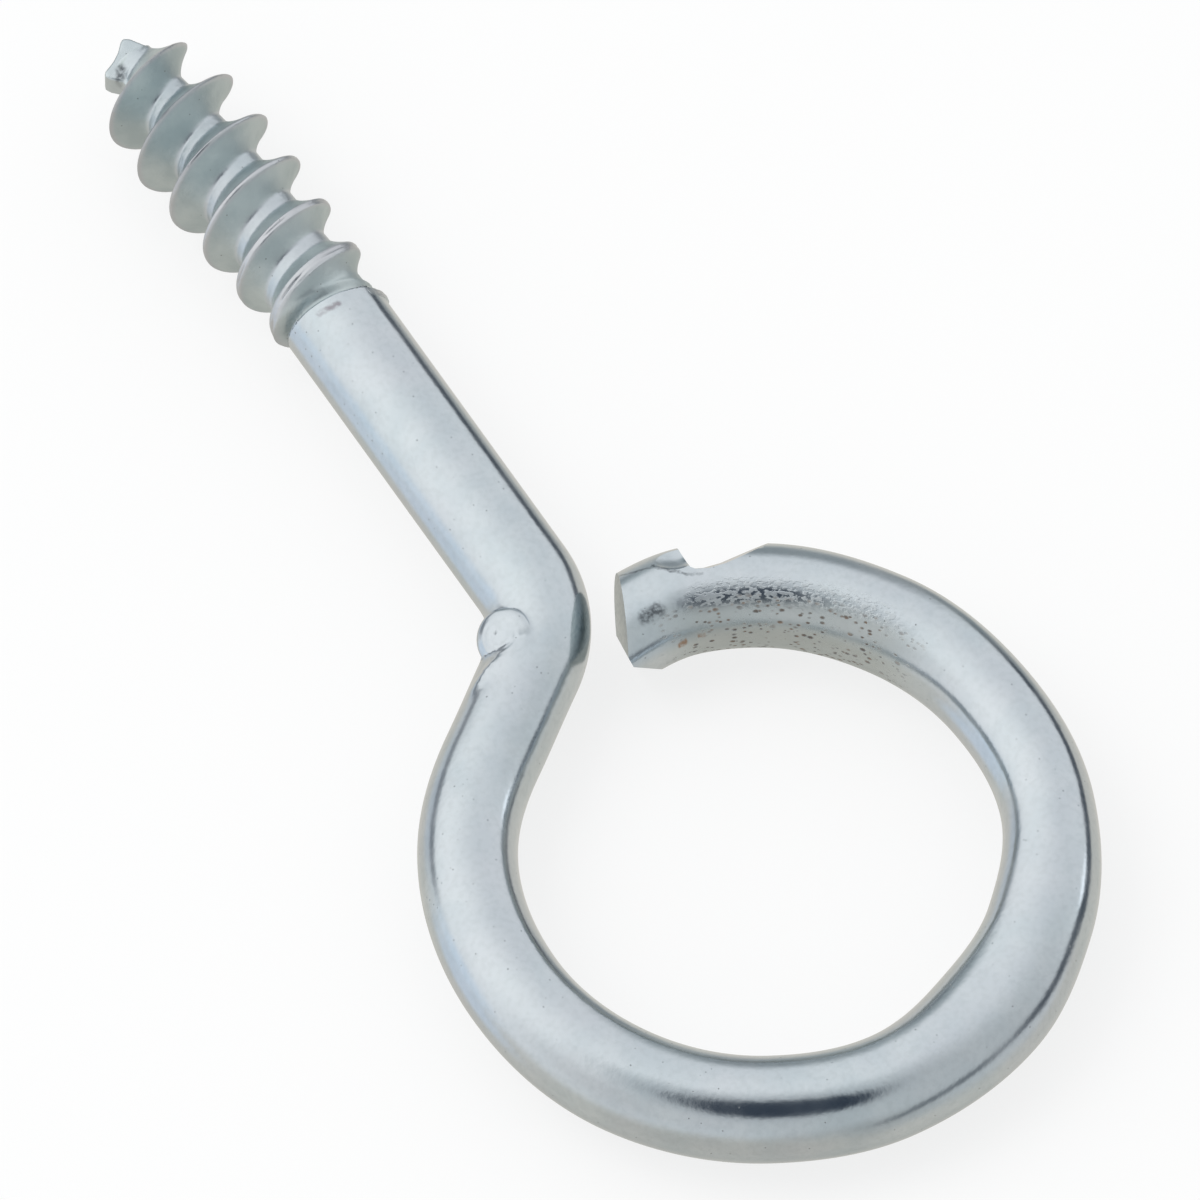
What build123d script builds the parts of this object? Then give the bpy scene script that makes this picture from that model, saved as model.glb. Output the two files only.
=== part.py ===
"""Screw eye: one length of steel wire with a rolled wood-screw thread, a tight neck and an open eye.

The eye lies in the XY plane with its centre at the origin, and the thread points along +Y.
All sizes are in millimetres and degrees, and angles round the eye are counted from +X towards +Y.
"""

import math
import os

from build123d import *

os.makedirs("parts", exist_ok=True)

# ---------------------------------------------------------------- driving sizes: wire, neck and eye
wire_diameter = 6.2
eye_radius = 16.85  # eye centre to the middle of the wire
shank_offset = 1.9  # eye centre to the shank's axis, along -X
shoulder_height = 42.9  # eye centre to the shoulder where the thread begins
neck_bend_radius = 6.8
neck_narrowing = 0.35  # the bend draws the wire thinner towards the eye
neck_angle = 125.0  # where the straight neck runs into the round of the eye
end_angle = 442.0  # where the sheared end stands, counted on from the neck
section_step = 8.0  # bends are built of short straight stretches, this far apart

# The bending tools leave the eye a little out of round, and its wire flat here and full there:
# angle, how far the wire stands outside eye_radius, extra width in the eye's plane, extra height across it
eye_stations = (
    (neck_angle, -0.1, -0.35, -0.2),
    (148.0, 0.08, -0.35, 0.1),
    (180.0, -0.05, -0.25, 0.15),
    (210.0, 0.0, 0.05, 0.2),
    (240.0, 0.04, 0.0, 0.2),
    (264.0, 0.28, 0.05, 0.1),
    (290.0, 0.07, 0.68, -0.2),
    (312.0, 0.0, 0.0, 0.1),
    (338.0, 0.12, -0.65, 0.1),
    (365.0, -0.12, -0.65, 0.1),
    (392.0, 0.0, -0.3, 0.05),
    (416.0, 0.2, -0.16, 0.0),
    (431.0, 0.33, 0.1, 0.0),
    (end_angle + 10.0, -0.3, 0.0, 0.0),
)

# ---------------------------------------------------------------- driving sizes: neck button
# The bend squeezes a round button of metal out of the inside of the neck.
button_radius = 1.85
button_inset = 2.2  # from the wire's axis at the middle of the bend to the button's centre
button_rise = 0.9
button_turn = 27.0  # button's direction, past the middle of the bend

# ---------------------------------------------------------------- driving sizes: sheared end
end_stretches = 8  # straight stretches in the piece of wire that carries the marks of the shear
# Each facet: turn from the wire's own direction, rise above the eye's plane, reach from the end point
end_facets = (
    (-18.0, 3.0, 1.12),  # the shear's face
    (2.0, -14.0, 1.6),  # broken corner below it
    (60.0, -29.0, 2.68),  # where the lower jaw pressed
)
press_angle = 426.0  # middle of the trough that the upper jaw pressed beside the tooth
press_rise = 29.0  # the jaw came down this far above the plane of the eye
press_depth = 1.1
press_run = 4.2  # length of the trough's gentle side
press_foot = 1.45  # from the middle of the trough to the foot of the tooth
press_flat = 1.15  # flat part of the trough's floor, up to the foot of the tooth
press_floor_rise = 0.17  # the floor climbs this far to the foot of the tooth
press_heel = -0.65  # where the floor turns up into the gentle side
press_heel_rise = 0.15
press_edge_rise = 0.1  # the gentle side runs out this far above the wire
tooth_height = 0.35  # the tooth stands this far above the wire
tooth_lean = 0.5  # how far the tooth's face leans over its height
crease_angle = 436.0
crease_rise = 60.0
crease_depth = 0.35
crease_width = 0.5
crease_length = 6.6

# ---------------------------------------------------------------- driving sizes: thread
thread_pitch = 3.35
thread_lead_in = -0.1  # height of the first crest from the shoulder, on the +X side
thread_lean = 1.7  # the thread leans this far towards -X
crest_radius = 4.1
crest_width = 0.26
flank_angle = 28.0  # of each flank near the crest, from square to the axis
flare_depth = 1.0  # from the crest to where a flank flares out to the root
flare_foot_depth = 0.05  # the flared foot of a flank lies this far inside the thinnest part of the core
core_radius_shoulder = 2.75
core_radius_waist = 2.3
core_radius_tip = 1.7
core_waist = 12.0  # height where the core begins to fall away to the tip
core_length = 19.8
thread_runout = 1.2  # the crest runs out this far past the end of the core
core_overlap = 0.4  # core inside the shank
shoulder_slant = 5.0

# The rolling dies leave the crest low at the shoulder and let it fade at the tip.
# Each cone trims the crest: radius where it meets the shoulder, radius where the crest has run out
crest_cones = ((3.37, 4.9), (4.24, 3.92), (11.7, 2.1), (30.0, 0.95))

# Pinched-off tip, a flat fishtail: points across the axis and up from the end of the core
tip_thickness = 1.4
tip_points = (
    (1.3, -0.9),
    (1.2, 0.8),
    (0.5, 2.25),
    (0.0, 2.63),
    (-0.58, 2.15),
    (-2.12, 1.4),
    (-2.13, 0.85),
    (-1.55, 0.0),
    (-1.35, -0.6),
)


def direction(azimuth, rise=0.0):
    """Unit vector at an angle round Z from +X and an angle above the XY plane."""
    flat = math.cos(math.radians(rise))
    return Vector(
        flat * math.cos(math.radians(azimuth)),
        flat * math.sin(math.radians(azimuth)),
        math.sin(math.radians(rise)),
    )


def eye_section(angle):
    """Out-of-round, extra width and extra height at an angle, blended between two stations."""
    for low, high in zip(eye_stations, eye_stations[1:]):
        if angle <= high[0]:
            break
    share = (angle - low[0]) / (high[0] - low[0])
    blend = share * share * (3 - 2 * share)
    return [a + (b - a) * blend for a, b in zip(low[1:], high[1:])]


wire_radius = wire_diameter / 2

# ---------------------------------------------------------------- route of the wire
shoulder = Vector(-shank_offset, shoulder_height, 0)
neck_direction = direction(neck_angle + 90)
neck_end = direction(neck_angle) * eye_radius
neck_straight = (neck_end.X + shank_offset) / neck_direction.X  # from the corner to the round of the eye
neck_corner = neck_end - neck_direction * neck_straight
bend_inside = (180 + neck_angle) / 2  # azimuth of the inside of the bend
bend_half_turn = math.radians(180 - neck_angle) / 2
bend_centre = neck_corner + direction(bend_inside) * neck_bend_radius / math.cos(bend_half_turn)

# Each section: middle of the wire, azimuth of the wire's outer side, extra width and extra height
sections = []
bend_stretches = round((180 - neck_angle) / section_step)
for number in range(bend_stretches + 1):
    angle = 180 + (neck_angle - 180) * number / bend_stretches
    narrowing = neck_narrowing * number / bend_stretches
    sections.append((bend_centre - direction(angle) * neck_bend_radius, angle, -narrowing, -narrowing))

last_angle = eye_stations[-1][0]
eye_stretches = round((last_angle - neck_angle) / section_step)
for number in range(eye_stretches + 1):
    angle = neck_angle + (last_angle - neck_angle) * number / eye_stretches
    out_of_round, extra_width, extra_height = eye_section(angle)
    sections.append((direction(angle) * (eye_radius + out_of_round), angle, extra_width, extra_height))


def bent_wire(stations):
    """Solid through the given sections, in straight stretches from one to the next."""
    with BuildPart() as bent:
        for middle, angle, extra_width, extra_height in stations:
            with BuildSketch(Plane(origin=middle, x_dir=direction(angle), z_dir=direction(angle + 90))):
                with BuildLine():
                    for quarter in range(4):
                        EllipticalCenterArc(
                            (0, 0),
                            wire_radius + extra_width / 2,
                            wire_radius + extra_height / 2,
                            start_angle=90 * quarter,
                            arc_size=90,
                        )
                make_face()
        loft(ruled=True)
    return bent.part


# ---------------------------------------------------------------- shank, neck and most of the eye
with BuildPart() as wire:
    add(bent_wire(sections[:-end_stretches]))
    shank_foot = sections[0][0]
    with BuildSketch(Plane(origin=shank_foot, z_dir=(0, 1, 0))):
        Circle(wire_radius)
    extrude(amount=shoulder.Y - shank_foot.Y + wire_radius)
    # The rolling dies leave the shoulder slanting across the shank.
    slant_foot = shoulder + Vector(wire_radius, 0, 0)
    split(bisect_by=Plane(origin=slant_foot, z_dir=direction(90 - shoulder_slant)), keep=Keep.BOTTOM)
    # Button squeezed out of the inside of the bend
    bend_middle = bend_centre - direction(bend_inside) * neck_bend_radius
    button_centre = bend_middle + direction(bend_inside + button_turn) * button_inset
    with Locations(button_centre + Vector(0, 0, button_rise)):
        Sphere(button_radius)

# ---------------------------------------------------------------- sheared end, apart so that no cut reaches the neck
with BuildPart() as sheared_end:
    add(bent_wire(sections[-end_stretches - 1 :]))

    # Facets of the sheared end
    end_point = direction(end_angle) * eye_radius
    for facet_turn, facet_rise, facet_reach in end_facets:
        facet_normal = direction(end_angle + 90 + facet_turn, facet_rise)
        with BuildSketch(Plane(origin=end_point + facet_normal * facet_reach, z_dir=facet_normal)):
            Rectangle(3 * wire_radius, 3 * wire_radius)
        extrude(amount=2 * wire_radius, mode=Mode.SUBTRACT)

    # Trough beside the tooth, pressed across the wire
    press_along = direction(press_angle + 90)
    press_up = direction(press_angle, press_rise)
    press_floor = wire_radius - press_depth
    floor_start = (press_foot - press_flat, press_floor)
    heel = (press_heel, press_floor + press_heel_rise)
    press_plane = Plane(
        origin=direction(press_angle) * eye_radius, x_dir=press_along, z_dir=press_along.cross(press_up)
    )
    with BuildSketch(press_plane):
        with BuildLine():
            Polyline(
                floor_start,
                (press_foot, press_floor + press_floor_rise),
                (press_foot + tooth_lean, wire_radius + tooth_height),
                (press_foot + 2 * tooth_lean, 2 * wire_radius),
                (-press_run, 2 * wire_radius),
                (-press_run, wire_radius + press_edge_rise),
                heel,
            )
            TangentArc(floor_start, heel, tangent=(-1, 0))
        make_face()
    extrude(amount=2 * wire_radius, both=True, mode=Mode.SUBTRACT)

    # Crease under the tooth, along the wire
    crease_along = direction(crease_angle + 90)
    crease_up = direction(crease_angle, crease_rise)
    crease_origin = direction(crease_angle) * eye_radius - crease_along * (crease_length / 2)
    with BuildSketch(Plane(origin=crease_origin, x_dir=crease_up, z_dir=crease_along)):
        with BuildLine():
            Polyline(
                (wire_radius - crease_depth, 0),
                (wire_radius + crease_depth, -crease_width),
                (wire_radius + crease_depth, crease_width),
                close=True,
            )
        make_face()
    extrude(amount=crease_length, mode=Mode.SUBTRACT)

# ---------------------------------------------------------------- threaded end, upright on its shoulder
# The ridge is swept to a sharp apex, and the crest cones then blunt it.
flank_slope = math.tan(math.radians(flank_angle))
apex_flat = 0.02
apex_radius = crest_radius + (crest_width - apex_flat) / 2 / flank_slope
flare_radius = crest_radius - flare_depth
flare_half = apex_flat / 2 + (apex_radius - flare_radius) * flank_slope
turn_gap = 0.08  # neighbouring turns stay clear of each other inside the core
ridge_half_root = (thread_pitch - turn_gap) / 2
ridge_root = core_radius_tip - flare_foot_depth
thread_end = core_length + thread_runout
ridge_start = thread_lead_in - thread_pitch
ridge_turns = math.ceil((thread_end - ridge_start) / thread_pitch)
with BuildPart() as ridge_turn:
    with BuildLine():
        helix = Helix(pitch=thread_pitch, height=thread_pitch, radius=apex_radius)
    with BuildSketch(Plane.XZ):
        with BuildLine():
            Polyline(
                (apex_radius, -apex_flat / 2),
                (flare_radius, -flare_half),
                (ridge_root, -ridge_half_root),
                (ridge_root, ridge_half_root),
                (flare_radius, flare_half),
                (apex_radius, apex_flat / 2),
                close=True,
            )
        make_face()
    sweep(path=helix, is_frenet=True)

seam_plane = Plane(origin=(0, 0, 0), x_dir=direction(120), z_dir=direction(30))  # clear of the ridge's seams
with BuildPart() as threaded_end:
    # Tapered core
    with BuildSketch(seam_plane):
        with BuildLine():
            Polyline(
                (0, -core_overlap),
                (core_radius_shoulder, -core_overlap),
                (core_radius_shoulder, 0),
                (core_radius_waist, core_waist),
                (core_radius_tip, core_length),
                (core_radius_tip, thread_end),
                (0, thread_end),
                close=True,
            )
        make_face()
    revolve(axis=Axis.Z)

    # Ridge, one turn after another
    for number in range(ridge_turns):
        with Locations((0, 0, ridge_start + number * thread_pitch)):
            add(ridge_turn.part)

    # Crest cones
    for radius_at_shoulder, radius_at_end in crest_cones:
        widening = (radius_at_end - radius_at_shoulder) / thread_end
        radius_below = radius_at_shoulder - widening * core_overlap
        with BuildSketch(seam_plane):
            with BuildLine():
                Polyline(
                    (0, -core_overlap),
                    (radius_below, -core_overlap),
                    (radius_at_end, thread_end),
                    (0, thread_end),
                    close=True,
                )
            make_face()
        revolve(axis=Axis.Z, mode=Mode.INTERSECT)

    # Fishtail tip
    with BuildSketch(Plane.XZ):
        with BuildLine():
            Polyline(*[(across, core_length + up) for across, up in tip_points], close=True)
        make_face()
    extrude(amount=tip_thickness / 2, both=True)

# ---------------------------------------------------------------- the whole screw eye
thread_plane = Plane(origin=shoulder, x_dir=direction(thread_lean), z_dir=direction(90 + thread_lean))
with BuildPart() as screw_eye:
    add(wire.part)
    add(sheared_end.part)
    with Locations(thread_plane.location):
        add(threaded_end.part)
screw_eye.part.label = "screw_eye"
export_step(screw_eye.part, "parts/screw_eye.step")
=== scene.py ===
# %% [markdown]
# # A screw eye in zinc-plated steel
# A screw eye is one length of steel wire. One end is rolled into a coarse wood-screw thread, and the rest
# is bent sharply at the neck and round into an open eye. The finished part is then plated with zinc.
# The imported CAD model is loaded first. It gives the size and the place of everything, and the box that
# the dressed model has to stay in.

# %% Load the frame
import math

import bmesh
import bpy
from mathutils import Matrix, Vector


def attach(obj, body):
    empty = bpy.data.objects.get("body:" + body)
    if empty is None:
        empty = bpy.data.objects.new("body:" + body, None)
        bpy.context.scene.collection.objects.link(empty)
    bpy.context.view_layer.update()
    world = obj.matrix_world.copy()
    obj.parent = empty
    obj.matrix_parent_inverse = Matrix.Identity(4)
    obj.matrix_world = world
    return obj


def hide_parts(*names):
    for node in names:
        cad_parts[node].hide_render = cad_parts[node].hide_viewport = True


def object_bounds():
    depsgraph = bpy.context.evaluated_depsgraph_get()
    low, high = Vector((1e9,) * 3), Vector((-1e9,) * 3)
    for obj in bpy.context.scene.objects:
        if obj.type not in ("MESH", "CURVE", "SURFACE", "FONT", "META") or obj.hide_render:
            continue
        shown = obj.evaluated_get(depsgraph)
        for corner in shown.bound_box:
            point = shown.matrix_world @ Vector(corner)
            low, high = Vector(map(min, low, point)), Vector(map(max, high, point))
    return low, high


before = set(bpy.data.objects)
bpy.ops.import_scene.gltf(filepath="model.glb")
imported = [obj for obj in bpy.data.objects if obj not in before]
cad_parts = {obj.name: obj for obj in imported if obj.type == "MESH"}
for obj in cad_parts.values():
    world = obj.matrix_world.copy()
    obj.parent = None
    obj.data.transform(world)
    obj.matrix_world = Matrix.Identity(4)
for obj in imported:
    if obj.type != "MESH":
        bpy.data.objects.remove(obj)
cad_box = [list(corner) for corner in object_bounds()]
MM = 0.001  # the shapes are worked out in millimetres and brought to metres at the end
print("CAD box in metres:", cad_box)

# %% [markdown]
# ## The wire
# A tube like this could be a bevelled curve, but its wire is flat here and full there, so it is drawn out
# as a mesh. A circle is pulled down the shank, turned round the tight bend of the neck, pulled along the
# short straight after it, and turned round the eye. `bmesh.ops.spin` does both jobs: with an angle of
# nought it only pushes.

# %% Sizes of the wire
WIRE = 6.2  # diameter
EYE = 16.85  # centre of the eye to the middle of the wire
SHANK_X = -1.9  # the shank stands a little to the left of the eye's centre
SHOULDER_Y = 42.9  # where the plain shank ends and the thread begins
BEND = 6.8  # radius of the neck's bend
NECK = 125.0  # angle at which the neck's straight runs into the eye
END = 442.0  # angle of the sheared end
SPARE = 14.0  # extra angle that the shear's facets take off
WIRE_SIDES = 112
SHANK_STEPS, BEND_STEPS, NECK_STEPS, EYE_STEPS = 56, 26, 14, 320


def direction(azimuth, rise=0.0):
    """Unit vector at an angle round Z from +X, and an angle above the XY plane."""
    flat = math.cos(math.radians(rise))
    across = math.radians(azimuth)
    return Vector((flat * math.cos(across), flat * math.sin(across), math.sin(math.radians(rise))))


along_neck = direction(NECK + 90)
neck_end = direction(NECK) * EYE
corner = neck_end - along_neck * ((neck_end.x - SHANK_X) / along_neck.x)
half_turn = math.radians(180 - NECK) / 2  # half of what the neck turns
bend_centre = corner + direction((180 + NECK) / 2) * (BEND / math.cos(half_turn))
bend_reach = BEND * math.tan(half_turn)
print("neck corner", corner, "bend centre", bend_centre)

# %% Pull the tube
def pull(bm, loop, steps, push=(0, 0, 0), about=(0, 0, 0), turn=0.0):
    """Draw a loop of edges on, straight or round an upright axis. Returns the new loop and the new points."""
    old = set(bm.verts)
    made = bmesh.ops.spin(
        bm,
        geom=loop,
        cent=about,
        axis=(0, 0, 1),
        dvec=Vector(push) / steps,
        angle=math.radians(turn),
        steps=steps,
    )
    return made["geom_last"], [v for v in bm.verts if v not in old]


wire = bmesh.new()
shank_top = Vector((SHANK_X, SHOULDER_Y + WIRE / 3, 0))
bmesh.ops.create_circle(
    wire,
    segments=WIRE_SIDES,
    radius=WIRE / 2,
    matrix=Matrix.Translation(shank_top) @ Matrix.Rotation(math.radians(90), 4, "X"),
)
loop = wire.verts[:] + wire.edges[:]
loop, _ = pull(wire, loop, SHANK_STEPS, push=(0, corner.y + bend_reach - shank_top.y, 0))
loop, bend_points = pull(wire, loop, BEND_STEPS, about=bend_centre, turn=NECK - 180)
loop, neck_points = pull(wire, loop, NECK_STEPS, push=neck_end - (corner + along_neck * bend_reach))
loop, eye_points = pull(wire, loop, EYE_STEPS, turn=END + SPARE - NECK)
print("tube:", len(wire.verts), "points, length in Y", shank_top.y - min(v.co.y for v in wire.verts))

# %% [markdown]
# ## Hand-bent, not turned
# Bending tools leave their mark: the eye isn't a true circle, and its wire is squeezed thin in some places
# and left full in others. The points of the eye are moved by a short table of such places, blended softly
# from one to the next.

# %% Shape the eye
# angle, out of round, extra width in the eye's plane, extra height across it; the angles run on past a full turn
STATIONS = (
    (NECK, -0.1, -0.35, -0.2),
    (148.0, 0.08, -0.35, 0.1),
    (180.0, -0.05, -0.25, 0.15),
    (210.0, 0.0, 0.05, 0.16),
    (240.0, 0.03, 0.0, 0.16),
    (264.0, 0.26, 0.05, 0.1),
    (290.0, 0.07, 0.68, -0.2),
    (312.0, 0.0, 0.0, 0.1),
    (338.0, 0.12, -0.65, 0.1),
    (365.0, -0.12, -0.65, 0.1),
    (392.0, 0.0, -0.3, 0.05),
    (416.0, 0.2, -0.16, 0.0),
    (431.0, 0.33, 0.1, 0.0),
    (END + 10.0, -0.3, 0.0, 0.0),
)


def blend(share):
    """Soft step from 0 to 1."""
    share = min(max(share, 0.0), 1.0)
    return share * share * (3 - 2 * share)


def station(angle):
    """Out of round, extra width and extra height at an angle."""
    for low, high in zip(STATIONS, STATIONS[1:]):
        if angle <= high[0]:
            break
    share = blend((angle - low[0]) / (high[0] - low[0]))
    return [a + (b - a) * share for a, b in zip(low[1:], high[1:])]


def reshape(point, middle, outward, shift, width, height):
    """Move one point of a section that stands square to the wire."""
    offset = (point.co - middle).dot(outward)
    across = offset * (1 + width / WIRE) + shift - offset
    point.co += outward * across
    point.co.z *= 1 + height / WIRE


SECOND_TURN = NECK - (360 + NECK - END - SPARE) / 2  # an angle below this belongs to the end, past a full turn
for point in eye_points:
    angle = math.degrees(math.atan2(point.co.y, point.co.x)) % 360
    if angle < SECOND_TURN:
        angle += 360
    outward = direction(angle)
    reshape(point, outward * EYE, outward, *station(angle))

# %% Blend the neck and the bend into it
shift, width, height = STATIONS[0][1:]
for point in neck_points:
    gone = (point.co - corner).dot(along_neck) - bend_reach
    share = blend(gone / ((neck_end - corner).length - bend_reach))
    reshape(point, neck_end, direction(NECK), shift * share, width, height)
for point in bend_points:
    spoke = point.co - bend_centre
    angle = math.degrees(math.atan2(-spoke.y, -spoke.x))
    share = blend((180 - angle % 360) / (180 - NECK))
    outward = direction(angle)
    reshape(point, bend_centre - outward * BEND, outward, 0, width * share, height * share)

# %% [markdown]
# ## Dents
# The bending tool leaves a crease across the inside of the neck, and the press a faint one beside the sheared
# end. Each point near a line is pushed in along its normal, deepest on the line and fading out to both sides,
# while the wire is still an even grid.

# %% Press the dents
def from_line(point, line):
    """Distance from a point to a line of straight runs."""
    best = 1e9
    for a, b in zip(line, line[1:]):
        run = b - a
        share = min(max((point - a).dot(run) / run.length_squared, 0.0), 1.0)
        best = min(best, (point - a - run * share).length)
    return best


LONGEST_DENT = 8
FADE = 2.2  # how far a dent reaches, in its half widths
NECK_CREASE = ((-4.9, 17.75, 2.8), (-5.6, 17.85, 2.7), (-6.45, 17.6, 2.6), (-7.5, 17.5, 2.2), (-8.6, 17.0, 1.6))
# depth, half width, and the points that the line runs through
DENTS = (
    (0.24, 0.42, NECK_CREASE),
    (0.05, 0.5, ((2.1, 15.4, 2.85), (2.9, 15.4, 2.85))),
)
wire.normal_update()
for depth, half_width, line in DENTS:
    line = [Vector(p) for p in line]
    near = [v for v in wire.verts if (v.co - line[0]).length < LONGEST_DENT]
    near = [v for v in near if from_line(v.co, line) < FADE * half_width]
    for point, normal in [(v, v.normal.copy()) for v in near]:
        point.co -= normal * depth * math.exp(-1.5 * (from_line(point.co, line) / half_width) ** 2)
    print("dent", depth, "deep moved", len(near), "points")

# %% [markdown]
# ## Shoulder and sheared end
# `bisect_plane` slices a mesh. The shoulder is one slanting slice across the shank. The other end was
# sheared off in a press, which leaves a flat face, a broken corner and a flat where the lower jaw bore.
# Only the faces near the end are handed to the slice, so that it can't reach the neck beside it.

# %% Slice the ends
SHOULDER_SLANT = 5.0
SHOULDER_ROUNDING = 0.14
# turn and rise from the wire's own direction, and reach from the middle of the sheared end
END_FACETS = ((-18.0, 3.0, 1.12), (2.0, -14.0, 1.6), (60.0, -29.0, 2.68))
END_STRETCH = (50, NECK)  # angles between which the faces near the end lie
end_tag = wire.faces.layers.int.new("end")
eye_set = set(eye_points)
for face in wire.faces:
    middle = face.calc_center_median()
    angle = math.degrees(math.atan2(middle.y, middle.x)) % 360
    face[end_tag] = int(all(v in eye_set for v in face.verts) and END_STRETCH[0] < angle < END_STRETCH[1])


def slice_off(bm, faces, point, normal):
    """Cut faces with a plane, drop what is in front of it and close the hole. Returns the new faces."""
    edges = {e for f in faces for e in f.edges}
    points = {v for f in faces for v in f.verts}
    bmesh.ops.bisect_plane(
        bm,
        geom=list(faces) + list(edges) + list(points),
        dist=1e-4,
        plane_co=point,
        plane_no=normal,
        clear_outer=True,
    )
    rim = [e for e in bm.edges if e.is_boundary and abs((e.verts[0].co - point).dot(normal)) < 1e-3]
    return bmesh.ops.holes_fill(bm, edges=rim, sides=0)["faces"]


# %% Shoulder
shoulder = Vector((SHANK_X, SHOULDER_Y, 0))
slant_foot = shoulder + Vector((WIRE / 2, 0, 0))
top_faces = [f for f in wire.faces if f.calc_center_median().y > SHOULDER_Y - WIRE / 2]
shoulder_face = slice_off(wire, top_faces, slant_foot, direction(90 - SHOULDER_SLANT))
bmesh.ops.bevel(
    wire,
    geom=[e for f in shoulder_face for e in f.edges],
    offset=SHOULDER_ROUNDING,
    offset_type="OFFSET",
    affect="EDGES",
    segments=4,
    profile=0.5,
    material=-1,
)

# %% Sheared end
end_point = direction(END) * EYE
for turn, rise, reach in END_FACETS:
    normal = direction(END + 90 + turn, rise)
    end_faces = [f for f in wire.faces if f[end_tag]]
    for face in slice_off(wire, end_faces, end_point + normal * reach, normal):
        face[end_tag] = 1
bmesh.ops.recalc_face_normals(wire, faces=wire.faces)
print("open edges left:", sum(e.is_boundary for e in wire.edges))

# %% [markdown]
# ## Parts as objects
# Boolean modifiers join the pieces and cut the marks of the press. Each helper mesh becomes an object for
# that, and is thrown away afterwards.

# %% Helpers for whole pieces
def as_object(bm, name):
    """Make an object of a mesh that was worked on, and link it."""
    mesh = bpy.data.meshes.new(name)
    bm.to_mesh(mesh)
    bm.free()
    thing = bpy.data.objects.new(name, mesh)
    bpy.context.scene.collection.objects.link(thing)
    return thing


def boolean(body, tool, operation):
    """Join a tool to a body, or cut it out, and throw the tool away."""
    step = body.modifiers.new(operation.lower(), "BOOLEAN")
    step.operation = operation
    step.solver = "EXACT"
    step.object = tool
    evaluated = body.evaluated_get(bpy.context.evaluated_depsgraph_get())
    mesh = bpy.data.meshes.new_from_object(evaluated)
    body.modifiers.clear()
    body.data = mesh
    bpy.data.objects.remove(tool)
    print(operation, "->", len(mesh.polygons), "faces")


def prism(outline, half_length, place, name):
    """Closed prism over an outline given in the plane of a matrix's X and Y, to both sides of it."""
    bm = bmesh.new()
    points = [bm.verts.new((x, y, -half_length)) for x, y in outline]
    face = bm.faces.new(points)
    made = bmesh.ops.extrude_face_region(bm, geom=[face])
    moved = [g for g in made["geom"] if isinstance(g, bmesh.types.BMVert)]
    bmesh.ops.translate(bm, verts=moved, vec=(0, 0, 2 * half_length))
    bmesh.ops.recalc_face_normals(bm, faces=bm.faces)
    bmesh.ops.transform(bm, matrix=place, verts=bm.verts)
    return as_object(bm, name)


def place_by(origin, x_axis, y_axis):
    """Matrix that stands its X and Y along two square directions at a point."""
    z_axis = x_axis.cross(y_axis)
    turned = Matrix((x_axis, y_axis, z_axis)).transposed().to_4x4()
    return Matrix.Translation(origin) @ turned


body = as_object(wire, "screw_eye_steel")

# %% [markdown]
# ## Marks of the press
# The upper jaw pushed a trough into the wire beside the sheared face and left a tooth standing. The trough is
# cut with a prism whose outline is the jaw's. Then a ball cuts a shallow dish out of the side of the tooth.

# %% Trough
JAW_ANGLE = 426.0  # place of the jaw along the eye
JAW_TILT = 29.0  # it pressed from the outside and from above
JAW_DEPTH = 1.1
JAW_BACK = 4.2  # the trough runs out past the sheared end
JAW_FRONT = 1.45  # foot of the tooth
TOOTH_LEAN = 0.5
floor_height = WIRE / 2 - JAW_DEPTH
trough = (
    (0.35, floor_height),
    (JAW_FRONT - 0.3, floor_height + 0.05),
    (JAW_FRONT, floor_height + 0.2),
    (JAW_FRONT + TOOTH_LEAN, WIRE / 2 + 0.35),
    (JAW_FRONT + 2 * TOOTH_LEAN, WIRE),
    (-JAW_BACK, WIRE),
    (-JAW_BACK, WIRE / 2 + 0.1),
    (-0.65, floor_height + 0.15),
)
jaw = place_by(direction(JAW_ANGLE) * EYE, direction(JAW_ANGLE + 90), direction(JAW_ANGLE, JAW_TILT))
boolean(body, prism(trough, WIRE, jaw, "trough"), "DIFFERENCE")

# %% The tooth's face
SCOOP = 2.4  # radius of the ball
SCOOP_DEPTH = 0.17
tooth = [Vector(p) for p in ((5.8, 16.69, 3.05), (6.13, 18.51, 1.98), (4.69, 17.97, 2.54))]
scoop_normal = (tooth[2] - tooth[0]).cross(tooth[1] - tooth[0]).normalized()
if scoop_normal.z < 0:
    scoop_normal.negate()
scoop_centre = (tooth[0] + tooth[1] + tooth[2]) / 3 + scoop_normal * (SCOOP - SCOOP_DEPTH)
ball = bmesh.new()
scoop_place = Matrix.Translation(scoop_centre)
bmesh.ops.create_uvsphere(ball, u_segments=64, v_segments=40, radius=SCOOP, matrix=scoop_place)
boolean(body, as_object(ball, "ball"), "DIFFERENCE")

# %% [markdown]
# ## Button in the neck
# The tight bend squeezes a round button of metal out of the inside of the neck. Its top is pressed almost
# flat, so the upper half of a ball is made low, tilted to the side and joined on. Then the seam is smoothed.

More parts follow.
